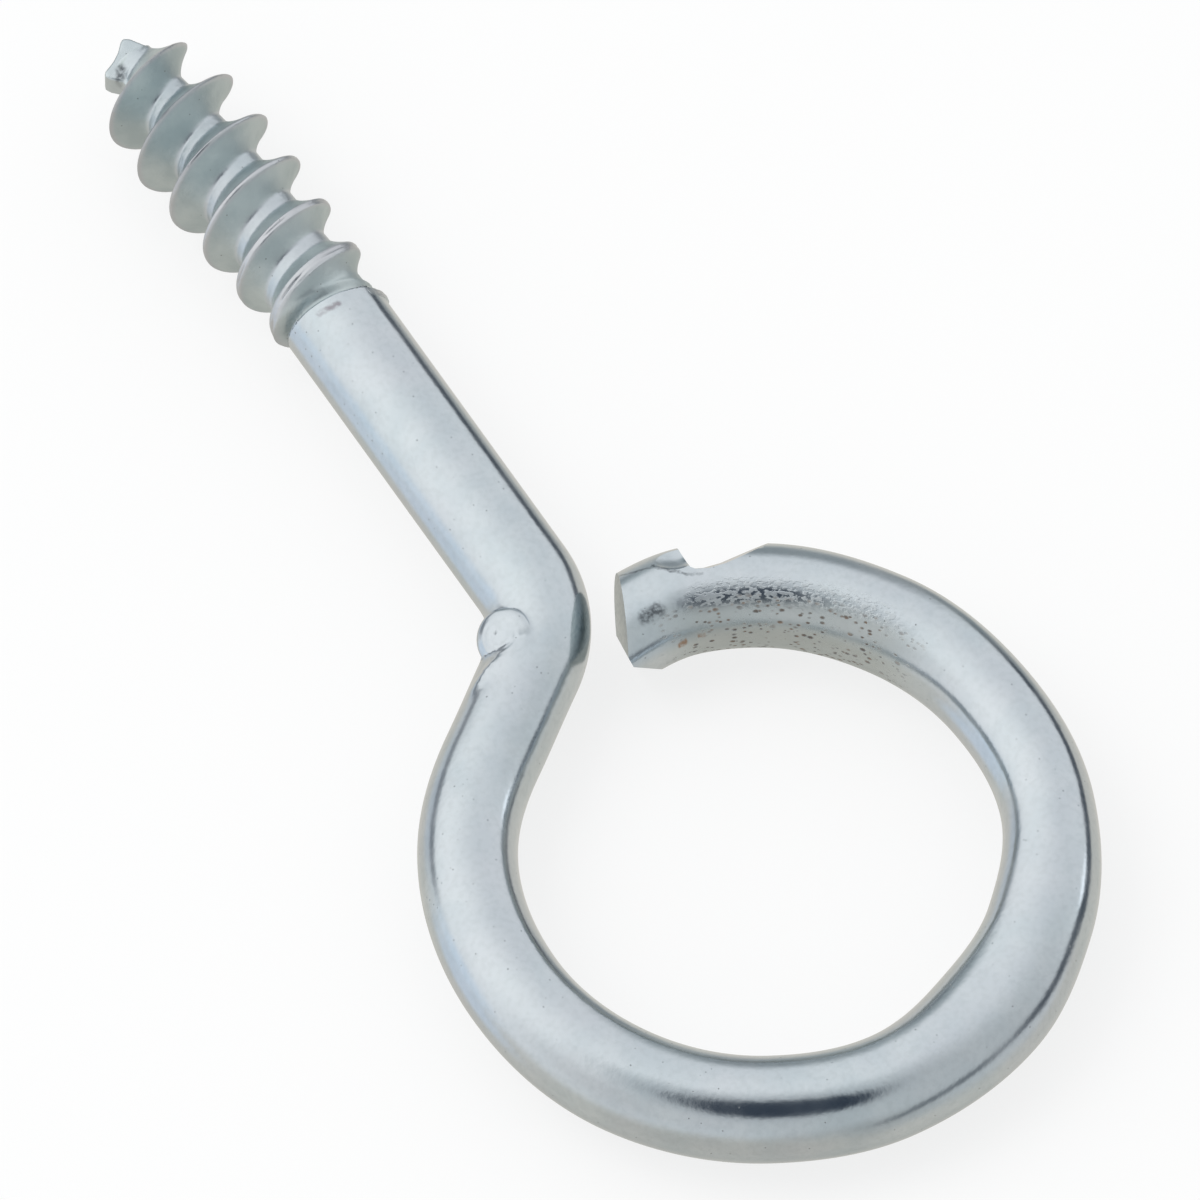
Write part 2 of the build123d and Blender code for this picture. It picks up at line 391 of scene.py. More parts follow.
# %% Button
BUTTON = 1.82  # radius
BUTTON_TOP = 0.62  # height of its low dome
BUTTON_DEPTH = 1.5  # how deep it sits in the wire
SEAM_ROUND = 0.35  # how far the smoothing reaches past the button
SEAM_PASSES = 9
UPPER_SIDE = 0.4  # lowest height that the smoothing touches
button_axis = Vector((-0.55, 0.0, 0.83)).normalized()
button_centre = Vector((-5.5, 18.97, 2.1))
dome = bmesh.new()
bmesh.ops.create_uvsphere(dome, u_segments=72, v_segments=48, radius=1)
for point in dome.verts:
    point.co.z *= (BUTTON_TOP if point.co.z > 0 else BUTTON_DEPTH) / BUTTON
tilt = button_axis.to_track_quat("Z", "Y").to_matrix().to_4x4()
button_place = Matrix.Translation(button_centre) @ tilt @ Matrix.Scale(BUTTON, 4)
bmesh.ops.transform(dome, verts=dome.verts, matrix=button_place)
boolean(body, as_object(dome, "button"), "UNION")

# %% Smooth the button's seam
joined = bmesh.new()
joined.from_mesh(body.data)
for _ in range(SEAM_PASSES):
    near = [v for v in joined.verts if (v.co - button_centre).length < BUTTON + SEAM_ROUND and v.co.z > UPPER_SIDE]
    bmesh.ops.smooth_vert(joined, verts=near, factor=0.5, use_axis_x=True, use_axis_y=True, use_axis_z=True)
joined.to_mesh(body.data)
joined.free()

# %% [markdown]
# ## Thread
# The thread was rolled between two dies. A plain sleeve of one pitch is spun up a helix, so that each turn's
# upper edge meets the lower edge of the next and is merged with it. Its rows then run along the thread, and
# each row is drawn in or out to the thread's section: crest, hollow flank and root. Marks on the mesh say
# where crest and root are, so that the finish can follow them.

# %% The sleeve
PITCH = 3.34
SLEEVE = 3  # radius before it is shaped
LEAD_IN = -0.1  # height of the crest on the shank's +X side, seen from the shoulder
TURNS = 8
TURN_STEPS = 96
CREST_BAND = 0.45  # the rows lie closer together in this band to both sides of the crest
CREST_ROWS, FLANK_ROWS = 13, 11
thread = bmesh.new()
start = LEAD_IN - PITCH
heights = (-PITCH / 2, -CREST_BAND, CREST_BAND, PITCH / 2)
points = [thread.verts.new((SLEEVE, 0, start + height)) for height in heights]
edges = [thread.edges.new(pair) for pair in zip(points, points[1:])]
bmesh.ops.subdivide_edges(thread, edges=[edges[0], edges[2]], cuts=FLANK_ROWS)
bmesh.ops.subdivide_edges(thread, edges=[edges[1]], cuts=CREST_ROWS)
bmesh.ops.spin(
    thread,
    geom=thread.verts[:] + thread.edges[:],
    cent=(0, 0, 0),
    axis=(0, 0, 1),
    dvec=(0, 0, PITCH / TURN_STEPS),
    angle=2 * math.pi * TURNS,
    steps=TURN_STEPS * TURNS,
)
bmesh.ops.remove_doubles(thread, verts=thread.verts, dist=1e-3)
print("sleeve:", len(thread.faces), "faces")

# %% Sizes along the thread
# height above the shoulder, then a radius or width there
CORE = ((-5.0, 2.72), (1.0, 2.72), (5.0, 2.52), (12.0, 2.3), (15.4, 1.98), (19.0, 1.62), (20.4, 1.42), (30.0, 1.2))
CREST = (
    (-5.0, 2.6),
    (-0.75, 2.9),
    (-0.1, 3.36),
    (3.5, 3.66),
    (10.5, 4.04),
    (15.0, 4.04),
    (17.6, 3.9),
    (19.2, 3.45),
    (20.1, 2.95),
    (21.0, 1.75),
    (22.0, 1.3),
    (30.0, 1.2),
)
CREST_WIDTH = ((-5.0, 0.7), (1.2, 0.66), (4.0, 0.4), (8.0, 0.26), (14.0, 0.16), (20.0, 0.1), (30.0, 0.1))
SEAM = ((-5.0, 0.09), (5.0, 0.08), (9.0, 0.03), (12.0, 0.0), (30.0, 0.0))  # depth of the seam along the crest
SEAM_WIDTH = 0.07
ROOT_FLAT = 0.62  # width of the flat root
HOLLOW = 1.4  # above 1 the flanks are hollow
ROUND_TOP = 0.05  # what the crest loses towards its edges
# beside the shoulder's face: a groove and, past it, a low lip (distance, half width, then the groove's radius
# or the lip's height)
GROOVE = (0.3, 0.26, 2.55)
LIP = (0.8, 0.14, 0.08)


def reading(table, height):
    """Value at a height, straight between the entries of a table."""
    for low, high in zip(table, table[1:]):
        if height <= high[0]:
            break
    return low[1] + (high[1] - low[1]) * (height - low[0]) / (high[0] - low[0])


def hump(distance, half_width, power=2):
    """1 at a distance of nought, fading out to both sides."""
    return math.exp(-((distance / half_width) ** power))


# %% The thread's section
def thread_section(across, back, height):
    """Radius of the thread at a point of the sleeve, and how much of it is crest and root there."""
    helix = LEAD_IN + PITCH * math.atan2(back, across) / (2 * math.pi)
    crest_height = helix + PITCH * round((height - helix) / PITCH)
    above = abs(height - crest_height)
    core = reading(CORE, height)
    crest = max(reading(CREST, crest_height), core)
    half = reading(CREST_WIDTH, crest_height) / 2
    foot = (PITCH - ROOT_FLAT) / 2
    share = min(max((above - half) / (foot - half), 0.0), 1.0)
    radius = core + (crest - core) * (1 - share) ** HOLLOW
    if above < half:
        radius -= ROUND_TOP * (above / half) ** 2
    else:
        radius = min(radius, crest - ROUND_TOP)
    nicks = 0.6 + 0.4 * math.sin(helix * 9.0 + crest_height * 3.0)
    radius -= reading(SEAM, crest_height) * hump(above, SEAM_WIDTH) * nicks

    slant = math.radians(SHOULDER_SLANT)
    from_face = (across - WIRE / 2) * math.sin(slant) + height * math.cos(slant)
    sunk = hump(from_face - GROOVE[0], GROOVE[1])
    radius -= max(radius - GROOVE[2], 0.0) * sunk
    radius += LIP[2] * hump(from_face - LIP[0], LIP[1])

    risen = min(max((crest - core) * 2, 0.0), 1.0)
    crest_share = hump(above, half + 0.1, 4) * risen * (1 - sunk)
    root_share = blend((share - 0.82) / 0.12) * blend((height - 2.0) / 0.8)
    return radius, crest_share, root_share


# %% Shape the thread
THREAD_START = -1.2  # it begins a little inside the shank
THREAD_END = 21.2
for point in thread.verts:
    radius = thread_section(*point.co)[0]
    plain = math.hypot(point.co.x, point.co.y)
    point.co.x *= radius / plain
    point.co.y *= radius / plain

slice_off(thread, thread.faces[:], Vector((0, 0, THREAD_START)), Vector((0, 0, -1)))
slice_off(thread, thread.faces[:], Vector((0, 0, THREAD_END)), Vector((0, 0, 1)))
bmesh.ops.recalc_face_normals(thread, faces=thread.faces)

# %% [markdown]
# The thread isn't quite straight: it leans a little to the left, and bends on towards the tip.

# %% Lay the thread on the shank
LEAN = 0.0087  # sideways, for each millimetre up
BENT = 0.00144  # sideways, for each square millimetre


def lay_on_shank(bm):
    """Turn an upright thread to the shank's direction, put it on the shoulder and bend it."""
    upright = place_by(shoulder, Vector((1, 0, 0)), Vector((0, 0, -1)))
    bmesh.ops.transform(bm, matrix=upright, verts=bm.verts)
    for point in bm.verts:
        height = max(point.co.y - SHOULDER_Y, 0.0)
        point.co.y += (point.co.x - SHANK_X) * (LEAN + 2 * BENT * height)
        point.co.x -= LEAN * height + BENT * height * height


lay_on_shank(thread)
print("thread:", len(thread.faces), "faces, open edges", sum(e.is_boundary for e in thread.edges))
boolean(body, as_object(thread, "thread"), "UNION")

# %% [markdown]
# ## Fishtail tip
# The end of the wire was pinched off, which leaves a small flat fishtail past the last turn of the thread.
# Its outline is extruded to a plate, which is given an even skin and smoothed to a swollen pillow.

# %% Tip
# across the shank, and height above the shoulder
TIP = (
    (1.45, 18.8),
    (1.35, 20.3),
    (1.12, 21.15),
    (0.6, 22.1),
    (0.3, 22.4),
    (0.02, 22.32),
    (-0.5, 21.85),
    (-1.1, 21.5),
    (-1.95, 21.2),
    (-2.08, 20.95),
    (-1.95, 20.6),
    (-1.45, 20.0),
    (-1.4, 18.8),
)
TIP_THICKNESS = 1.75
TIP_GRAIN = 0.09
TIP_SMOOTHINGS = 9
tip = bmesh.new()
face = tip.faces.new([tip.verts.new((across, -TIP_THICKNESS / 2, up)) for across, up in TIP])
made = bmesh.ops.extrude_face_region(tip, geom=[face])["geom"]
bmesh.ops.translate(tip, verts=[g for g in made if isinstance(g, bmesh.types.BMVert)], vec=(0, TIP_THICKNESS, 0))
bmesh.ops.recalc_face_normals(tip, faces=tip.faces)
lay_on_shank(tip)
tip = as_object(tip, "tip")
remesh = tip.modifiers.new("even skin", "REMESH")
remesh.mode = "VOXEL"
remesh.voxel_size = TIP_GRAIN
rounding = tip.modifiers.new("rounding", "SMOOTH")
rounding.factor = 0.5
rounding.iterations = TIP_SMOOTHINGS
boolean(body, tip, "UNION")

# %% Finish the mesh
SHARP = 34  # edges that turn by more degrees stay sharp
mesh = body.data
mesh.transform(Matrix.Scale(MM, 4))
for polygon in mesh.polygons:
    polygon.use_smooth = True
mesh.set_sharp_from_angle(angle=math.radians(SHARP))
whole_piece = bmesh.new()
whole_piece.from_mesh(mesh)
print("edges without two faces:", sum(not e.is_manifold for e in whole_piece.edges))
print("volume in cubic millimetres:", whole_piece.calc_volume() / MM**3)
whole_piece.free()

# %% [markdown]
# ## Marks for the finish
# The finish differs on the thread's crests, flanks and roots, and on the sheared faces. Each point is laid
# back on the straight thread to see which part of the section it is on. The values are kept in the mesh, as
# attributes that the material reads.

# %% Mark the thread
ON_THREAD = 0.1  # a point this near to the section's radius is on the thread
TIP_SHARE = 0.35  # the tip has some of the thread's dull finish
marks = {name: [0.0] * len(mesh.vertices) for name in ("thread", "crest", "root")}
for index, vertex in enumerate(mesh.vertices):
    x, y, z = vertex.co / MM
    height = y - SHOULDER_Y
    if height < -0.7:
        continue
    rise = max(height, 0.0)
    across = x - SHANK_X + LEAN * rise + BENT * rise * rise
    height -= across * (LEAN + 2 * BENT * rise)
    radius, crest, root = thread_section(across, -z, height)
    if abs(math.hypot(across, z) - radius) < ON_THREAD and height < THREAD_END - ON_THREAD:
        marks["thread"][index] = 1.0
        marks["crest"][index] = crest
        marks["root"][index] = root
    elif height > THREAD_END - 1.5:
        marks["thread"][index] = TIP_SHARE
for name, values in marks.items():
    mesh.attributes.new(name=name, type="FLOAT", domain="POINT").data.foreach_set("value", values)
    print(name, "marks:", sum(value > 0.5 for value in values))

# %% Mark the sheared faces
NEAR_END = 4.5
SAME_WAY = 0.985  # cosine of the angle to a facet's own normal
facets = [direction(END + 90 + turn, rise) for turn, rise, reach in END_FACETS]
sheared = [0.0] * len(mesh.polygons)
for index, polygon in enumerate(mesh.polygons):
    if (polygon.center / MM - end_point).length < NEAR_END:
        sheared[index] = float(max(polygon.normal.dot(facet) for facet in facets) > SAME_WAY)
mesh.attributes.new(name="sheared", type="FLOAT", domain="FACE").data.foreach_set("value", sheared)
print("sheared faces:", sum(sheared))
low = [min(v.co[i] for v in mesh.vertices) for i in range(3)]
high = [max(v.co[i] for v in mesh.vertices) for i in range(3)]
print("piece box:", low, high, "faces", len(mesh.polygons))

# %% [markdown]
# ## Zinc plate
# Bright zinc is a bluish metal with a satin sheen. It is softly mottled, because the plating bath leaves
# cloudy crystals. The mottle, the pits and the streaks are shader groups, so that each use has its own
# numbers. A few helpers keep the writing of the nodes short.

# %% Shader helpers
def feed(tree, value, socket):
    """Link a socket to another node's output, or set its value."""
    if isinstance(value, bpy.types.NodeSocket):
        tree.links.new(value, socket)
    else:
        socket.default_value = value


def add(tree, kind, settings=None, **inputs):
    """Add a node, set its properties, and feed its inputs by name or by number (i0, i1)."""
    made = tree.nodes.new(kind)
    for key, value in (settings or {}).items():
        setattr(made, key, value)
    for key, value in inputs.items():
        numbered = key[0] == "i" and key[1:].isdigit()
        feed(tree, value, made.inputs[int(key[1:]) if numbered else key])
    return made


def math_node(tree, operation, a, b=0.0, clamp=False):
    made = add(tree, "ShaderNodeMath", {"operation": operation, "use_clamp": clamp}, i0=a, i1=b)
    return made.outputs[0]


def vector_node(tree, operation, a, b=(0, 0, 0), output="Vector"):
    """Maths with vectors. Lengths, distances and dot products come out of "Value"."""
    return add(tree, "ShaderNodeVectorMath", {"operation": operation}, i0=a, i1=b).outputs[output]


def soft_step(tree, value, nothing, full):
    """0 where a value has reached nothing, 1 where it has reached full, and soft between them."""
    limits = {"From Min": nothing, "From Max": full}
    made = add(tree, "ShaderNodeMapRange", {"interpolation_type": "SMOOTHSTEP"}, Value=value, **limits)
    return made.outputs["Result"]


def mix(tree, share, a, b):
    """Blend two colours."""
    return add(tree, "ShaderNodeMix", {"data_type": "RGBA"}, i0=share, i6=a, i7=b).outputs[2]


# %% Group helpers
def new_group(name, inputs, outputs):
    """Empty shader group with named inputs (name, type, default) and outputs (name, type)."""
    group = bpy.data.node_groups.new(name, "ShaderNodeTree")
    for label, kind, default in inputs:
        socket = group.interface.new_socket(name=label, in_out="INPUT", socket_type="NodeSocket" + kind)
        if default is not None:
            socket.default_value = default
    for label, kind in outputs:
        group.interface.new_socket(name=label, in_out="OUTPUT", socket_type="NodeSocket" + kind)
    return group, group.nodes.new("NodeGroupInput").outputs, group.nodes.new("NodeGroupOutput").inputs


def place_group(tree, group, **inputs):
    """Use a group in a tree and feed its inputs by name. Returns its outputs."""
    made = tree.nodes.new("ShaderNodeGroup")
    made.node_tree = group
    for key, value in inputs.items():
        feed(tree, value, made.inputs[key])
    return made.outputs


# %% Cloudy mottle
mottle, source, sink = new_group(
    "cloudy_mottle",
    (("Position", "Vector", None), ("Scale", "Float", 300.0), ("Low", "Float", 0.35), ("High", "Float", 0.65)),
    (("Mask", "Float"),),
)
clouds = add(mottle, "ShaderNodeTexNoise", Vector=source["Position"], Scale=source["Scale"], Detail=4.0)
mottle.links.new(soft_step(mottle, clouds.outputs["Fac"], source["Low"], source["High"]), sink["Mask"])

# %% Pits
pits, source, sink = new_group(
    "pits",
    (("Position", "Vector", None), ("Scale", "Float", 1000.0), ("Size", "Float", 0.2), ("Share", "Float", 0.2)),
    (("Mask", "Float"),),
)
cells = add(pits, "ShaderNodeTexVoronoi", Vector=source["Position"], Scale=source["Scale"])
chance = add(pits, "ShaderNodeSeparateColor", Color=cells.outputs["Color"]).outputs["Red"]
chosen = math_node(pits, "LESS_THAN", chance, source["Share"])
size = math_node(pits, "MULTIPLY", source["Size"], math_node(pits, "ADD", chance, 0.7))
inside = soft_step(pits, cells.outputs["Distance"], size, math_node(pits, "MULTIPLY", size, 0.4))
pits.links.new(math_node(pits, "MULTIPLY", inside, chosen), sink["Mask"])

# %% [markdown]
# A streak is a soft mark between two points, such as a scratch or a stain. It fades with the distance from
# the line between them. A stretch of the eye is a part of the ring between two angles and two radii. It also
# lays the wire out flat, so that a pattern can be drawn out along it.

# %% A soft streak between two points
streak, source, sink = new_group(
    "streak",
    (
        ("Position", "Vector", None),
        ("From", "Vector", (0, 0, 0)),
        ("To", "Vector", (0, 0, 0)),
        ("Reach", "Float", 0.001),
    ),
    (("Mask", "Float"),),
)
away = vector_node(streak, "SUBTRACT", source["Position"], source["From"])
run = vector_node(streak, "SUBTRACT", source["To"], source["From"])
along = vector_node(streak, "DOT_PRODUCT", away, run, "Value")
whole = vector_node(streak, "DOT_PRODUCT", run, run, "Value")
share = math_node(streak, "DIVIDE", along, whole, True)
nearest = add(streak, "ShaderNodeVectorMath", {"operation": "SCALE"}, i0=run, Scale=share).outputs["Vector"]
gap = vector_node(streak, "DISTANCE", away, nearest, "Value")
core = math_node(streak, "MULTIPLY", source["Reach"], 0.2)
streak.links.new(soft_step(streak, gap, source["Reach"], core), sink["Mask"])

# %% A stretch of the eye
stretch, source, sink = new_group(
    "stretch_of_eye",
    (
        ("Position", "Vector", None),
        ("Start", "Float", 0.6),
        ("End", "Float", 1.3),
        ("Inner", "Float", 0.014),
        ("Outer", "Float", 0.017),
        ("Fade", "Float", 0.12),
    ),
    (("Mask", "Float"), ("Laid Out", "Vector")),
)
SIDE_FADE = 0.0006  # metres


def ramp(a, b, length):
    """Rises from 0 to 1 over a length, as a grows past b."""
    return math_node(stretch, "DIVIDE", math_node(stretch, "SUBTRACT", a, b), length, True)


parts = add(stretch, "ShaderNodeSeparateXYZ", Vector=source["Position"]).outputs
turn = math_node(stretch, "ARCTAN2", parts["Y"], parts["X"])
flat = add(stretch, "ShaderNodeCombineXYZ", X=parts["X"], Y=parts["Y"]).outputs["Vector"]
out = vector_node(stretch, "LENGTH", flat, output="Value")
rising, falling = ramp(turn, source["Start"], source["Fade"]), ramp(source["End"], turn, source["Fade"])
inside, outside = ramp(out, source["Inner"], SIDE_FADE), ramp(source["Outer"], out, SIDE_FADE)
along = math_node(stretch, "MULTIPLY", rising, falling)
across = math_node(stretch, "MULTIPLY", inside, outside)
stretch.links.new(math_node(stretch, "MULTIPLY", along, across), sink["Mask"])
drawn_out = math_node(stretch, "MULTIPLY", turn, 0.5 * EYE * MM)  # patterns come out twice as long as wide
laid_out = add(stretch, "ShaderNodeCombineXYZ", X=drawn_out, Y=out, Z=parts["Z"]).outputs["Vector"]
stretch.links.new(laid_out, sink["Laid Out"])

# %% [markdown]
# The material starts as plain metal with three mottles on it: broad clouds of deeper and paler zinc, a large
# violet tint, and fine grey grain. Each layer after that is blended over the colour so far.

# %% The zinc
DEEP_ZINC = (0.535, 0.60, 0.64, 1)
PALE_ZINC = (0.60, 0.655, 0.69, 1)
TINTED_ZINC = (0.58, 0.61, 0.655, 1)
GREY_ZINC = (0.40, 0.44, 0.46, 1)
zinc = bpy.data.materials.new("zinc_plate")
zinc.use_nodes = True
tree = zinc.node_tree
shader = tree.nodes["Principled BSDF"]
spot = add(tree, "ShaderNodeTexCoord").outputs["Object"]


def cloudy(scale, low, high, place=spot):
    """Mask of soft clouds. A higher scale makes them smaller."""
    return place_group(tree, mottle, Position=place, Scale=scale, Low=low, High=high)["Mask"]


def mark(name):
    """Values that the mesh carries."""
    return add(tree, "ShaderNodeAttribute", {"attribute_name": name}).outputs["Fac"]


def times(a, b):
    return math_node(tree, "MULTIPLY", a, b)


broad = cloudy(420.0, 0.3, 0.7)
tint = cloudy(130.0, 0.35, 0.65)
fine = cloudy(2600.0, 0.4, 0.7)
colour = mix(tree, broad, DEEP_ZINC, PALE_ZINC)
colour = mix(tree, times(tint, 0.5), colour, TINTED_ZINC)
colour = mix(tree, times(fine, 0.16), colour, GREY_ZINC)

# %% [markdown]
# ## Finish of the thread
# The dies and the plating bath leave the flanks dull and greenish. The crests are rubbed, the roots bright.

# %% Thread finish
DEEP_FLANK = (0.47, 0.545, 0.56, 1)
PALE_FLANK = (0.61, 0.675, 0.68, 1)
RUBBED = (0.56, 0.55, 0.57, 1)
threaded = mark("thread")
crest = mark("crest")
root = mark("root")
neither = times(math_node(tree, "SUBTRACT", 1.0, crest, True), math_node(tree, "SUBTRACT", 1.0, root, True))
flank = times(times(threaded, neither), 0.9)
colour = mix(tree, flank, colour, mix(tree, broad, DEEP_FLANK, PALE_FLANK))
colour = mix(tree, times(crest, 0.5), colour, RUBBED)

# %% [markdown]
# ## Pits and rust
# Inside the top of the eye the plating is thin, and the steel shows through as rusty pits that follow the
# wire. Beside them the bath left a gritty crust. A few dark specks lie all over.

# %% Pits and rust
SPECK = (0.16, 0.165, 0.17, 1)
WORN = (0.45, 0.48, 0.45, 1)
CRYSTAL = (0.68, 0.72, 0.74, 1)
DARK_RUST = (0.09, 0.06, 0.045, 1)
LIGHT_RUST = (0.26, 0.15, 0.08, 1)
specks = place_group(tree, pits, Position=spot, Scale=2300.0, Size=0.18, Share=0.2)["Mask"]
thin = place_group(tree, stretch, Position=spot, Start=0.3, End=1.45, Inner=0.0134, Outer=0.0158, Fade=0.2)
worn, along_wire = thin["Mask"], thin["Laid Out"]
crust = place_group(tree, stretch, Position=spot, Start=0.4, End=1.34, Inner=0.0148, Outer=0.0169, Fade=0.15)
cluster = cloudy(600.0, 0.36, 0.5)
rust_pits = place_group(tree, pits, Position=along_wire, Scale=3700.0, Size=0.38, Share=0.75)["Mask"]
rust = times(times(rust_pits, cluster), worn)
gritty = times(cloudy(5200.0, 0.47, 0.6, along_wire), crust["Mask"])
colour = mix(tree, times(specks, 0.6), colour, SPECK)
colour = mix(tree, times(worn, 0.45), colour, WORN)
colour = mix(tree, times(gritty, 0.35), colour, CRYSTAL)
colour = mix(tree, times(rust, 0.85), colour, mix(tree, fine, DARK_RUST, LIGHT_RUST))

# %% [markdown]
# ## Stains and marks
# Single stains sit where handling and the press left them: rust on the sheared edge, a scratch below the
# shoulder, a dark spot in the trough. One dark line is painted shade, not a stain: it runs along the crease
# beside the tooth and stands in for the dark reflection there. Each is a streak whose outline is made ragged
# by noise and whose inside is patchy, so that none looks painted on.

# %% Places of a streak
FLAT = 0.4  # height counts less than place, so that a mark follows the rounding of the wire
RAGGED = 0.0004  # metres
ragged = add(tree, "ShaderNodeTexNoise", Vector=spot, Scale=2000.0, Detail=3.0).outputs["Color"]
shift = add(
    tree,
    "ShaderNodeVectorMath",
    {"operation": "MULTIPLY_ADD"},
    i0=ragged,
    i1=(RAGGED, RAGGED, RAGGED),
    i2=(-RAGGED / 2, -RAGGED / 2, -RAGGED / 2),
).outputs["Vector"]
flat_spot = vector_node(tree, "MULTIPLY", vector_node(tree, "ADD", spot, shift), (1, 1, FLAT))


def streak_mask(start, end, reach):
    """Mask of a streak, with its ends and reach in millimetres."""
    ends = [(x * MM, y * MM, z * MM * FLAT) for x, y, z in (start, end)]
    return place_group(tree, streak, Position=flat_spot, From=ends[0], To=ends[1], Reach=reach * MM)["Mask"]


# %% Stains and painted shade
RUST = (0.30, 0.15, 0.06, 1)
# dark of the spots, and of the painted shade along the crease beside the tooth
DARK = (0.12, 0.135, 0.15, 1)
VIOLET = (0.27, 0.25, 0.28, 1)
# start, end, reach, colour, strength
STAINS_AND_PAINTED_SHADE = (
    ((3.2, 13.68, 0.85), (3.65, 13.72, 0.95), 0.19, RUST, 0.8),
    ((4.4, 13.6, 1.0), (4.8, 13.5, 1.0), 0.14, RUST, 0.6),
    ((-5.91, 19.29, 2.5), (-5.91, 19.29, 2.5), 0.17, DARK, 0.7),
    ((1.95, 15.43, 2.86), (2.85, 15.43, 2.86), 0.62, DARK, 0.95),
    ((-3.3, 42.62, 2.7), (-2.75, 42.56, 2.9), 0.3, VIOLET, 0.45),
    ((-2.6, 42.54, 2.95), (-2.1, 42.5, 3.08), 0.32, VIOLET, 0.8),
    ((-4.1, 63.2, 0.8), (-3.8, 63.6, 0.8), 0.45, DARK, 0.9),
    # painted shade: a thin dark line along the crease beside the tooth, standing in for the dark reflection there
    ((1.9, 18.9, 2.0), (3.1, 18.36, 2.5), 0.17, DARK, 0.6),
    ((3.1, 18.36, 2.5), (4.2, 18.05, 2.6), 0.15, DARK, 0.6),
    ((4.2, 18.05, 2.6), (4.75, 17.2, 3.0), 0.2, DARK, 0.8),
    ((4.75, 17.2, 3.0), (5.4, 16.4, 3.1), 0.17, DARK, 0.6),
    ((5.4, 16.4, 3.1), (6.2, 15.95, 3.1), 0.15, DARK, 0.4),
)
broken = cloudy(4200.0, 0.36, 0.58)
patchy = add(tree, "ShaderNodeMath", {"operation": "MULTIPLY_ADD"}, i0=broken, i1=0.6, i2=0.4).outputs[0]
for start, end, reach, tone, share in STAINS_AND_PAINTED_SHADE:
    colour = mix(tree, times(streak_mask(start, end, reach), times(patchy, share)), colour, tone)

# %% [markdown]
# The sheared faces have no plating of their own, only what the bath put on afterwards, so they are darker
# and broken in tone. Rust is no metal any more, so the metal is taken back where it lies.

# %% Colour and metal
DEEP_TEAR = (0.30, 0.345, 0.345, 1)
PALE_TEAR = (0.50, 0.54, 0.53, 1)
torn = mark("sheared")
colour = mix(tree, times(torn, 0.7), colour, mix(tree, broken, DEEP_TEAR, PALE_TEAR))
tree.links.new(colour, shader.inputs["Base Color"])
metal = math_node(tree, "SUBTRACT", 1.0, times(rust, 0.8), True)
tree.links.new(metal, shader.inputs["Metallic"])

# %% [markdown]
# ## Roughness and relief
# Zinc is smooth on the shank and duller on the flanks, the rust and the tear. The relief is very low: the
# waviness of the plating, its grain, the rings that the bending pin left on the button, and the pits.

# %% Roughness
SMOOTH, CLOUDS = 0.13, 0.06
rough = add(tree, "ShaderNodeMath", {"operation": "MULTIPLY_ADD"}, i0=broad, i1=CLOUDS, i2=SMOOTH).outputs[0]
duller = (
    (flank, 0.34),
    (times(root, threaded), 0.18),
    (crest, 0.16),
    (rust, 0.4),
    (gritty, 0.25),
    (torn, 0.2),
    (worn, 0.12),
)
for amount, share in duller:
    rough = math_node(tree, "ADD", rough, times(amount, share))
tree.links.new(rough, shader.inputs["Roughness"])

# %% Relief
PIN = (-5.7, 19.0, 2.4)  # middle of the rings on the button
PIN_REACH = 2.2
RINGS = 17000.0  # radians a metre, which puts a ring every 0.37 mm
RELIEF = 0.00001  # metres
swirl = streak_mask(PIN, PIN, PIN_REACH)
from_pin = vector_node(tree, "DISTANCE", spot, Vector(PIN) * MM, "Value")
rings = math_node(tree, "SINE", times(from_pin, RINGS))
waves = add(tree, "ShaderNodeTexNoise", Vector=spot, Scale=900.0, Detail=2.0).outputs["Fac"]
grain = add(tree, "ShaderNodeTexNoise", Vector=spot, Scale=3800.0, Detail=2.0).outputs["Fac"]
layers = (
    (grain, 0.45),
    (times(rings, swirl), 0.45),
    (specks, -0.8),
    (rust, -2.0),
    (gritty, 0.9),
    (times(fine, threaded), 0.8),
)
height = times(waves, 1.2)
for amount, share in layers:
    height = math_node(tree, "ADD", height, times(amount, share))
bump = add(tree, "ShaderNodeBump", Strength=1.0, Distance=RELIEF, Height=height)
tree.links.new(bump.outputs["Normal"], shader.inputs["Normal"])

# %% Hand the piece over
body.data.materials.clear()
body.data.materials.append(zinc)
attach(body, "root")
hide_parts("screw_eye")

# %% [markdown]
# ## Table, light and camera
# The part lies on a white table in a light tent. Polished wire mirrors the tent, so the tent makes the
# look: a broad glow on one side, a dark opening where the camera looks in, and a dark gap low down where the
# tent ends. Without the opening and the gap the wire would look like plaster.

# %% Table
TABLE_HALF = 1.2
WHITENESS = 0.72  # how much of what the camera sees is plain white; the rest keeps the shadow
floor_z = cad_box[0][2]
table = bmesh.new()
bmesh.ops.create_grid(
    table, x_segments=1, y_segments=1, size=TABLE_HALF, matrix=Matrix.Translation((0, 0, floor_z))
)
table = as_object(table, "table")
table.visible_glossy = False  # the tent's own lower half is what the wire mirrors
white = bpy.data.materials.new("white_table")
white.use_nodes = True
tree = white.node_tree
plain = tree.nodes["Principled BSDF"]
plain.inputs["Base Color"].default_value = (0.86, 0.86, 0.86, 1)
plain.inputs["Roughness"].default_value = 0.9
plain.inputs["Specular IOR Level"].default_value = 0.0
glow = add(tree, "ShaderNodeEmission", Color=(1, 1, 1, 1), Strength=1.06)
seen = add(tree, "ShaderNodeLightPath").outputs["Is Camera Ray"]
share = math_node(tree, "MULTIPLY", seen, WHITENESS)
both = add(tree, "ShaderNodeMixShader", i0=share, i1=plain.outputs[0], i2=glow.outputs[0])
tree.links.new(both.outputs[0], tree.nodes["Material Output"].inputs["Surface"])
table.data.materials.append(white)

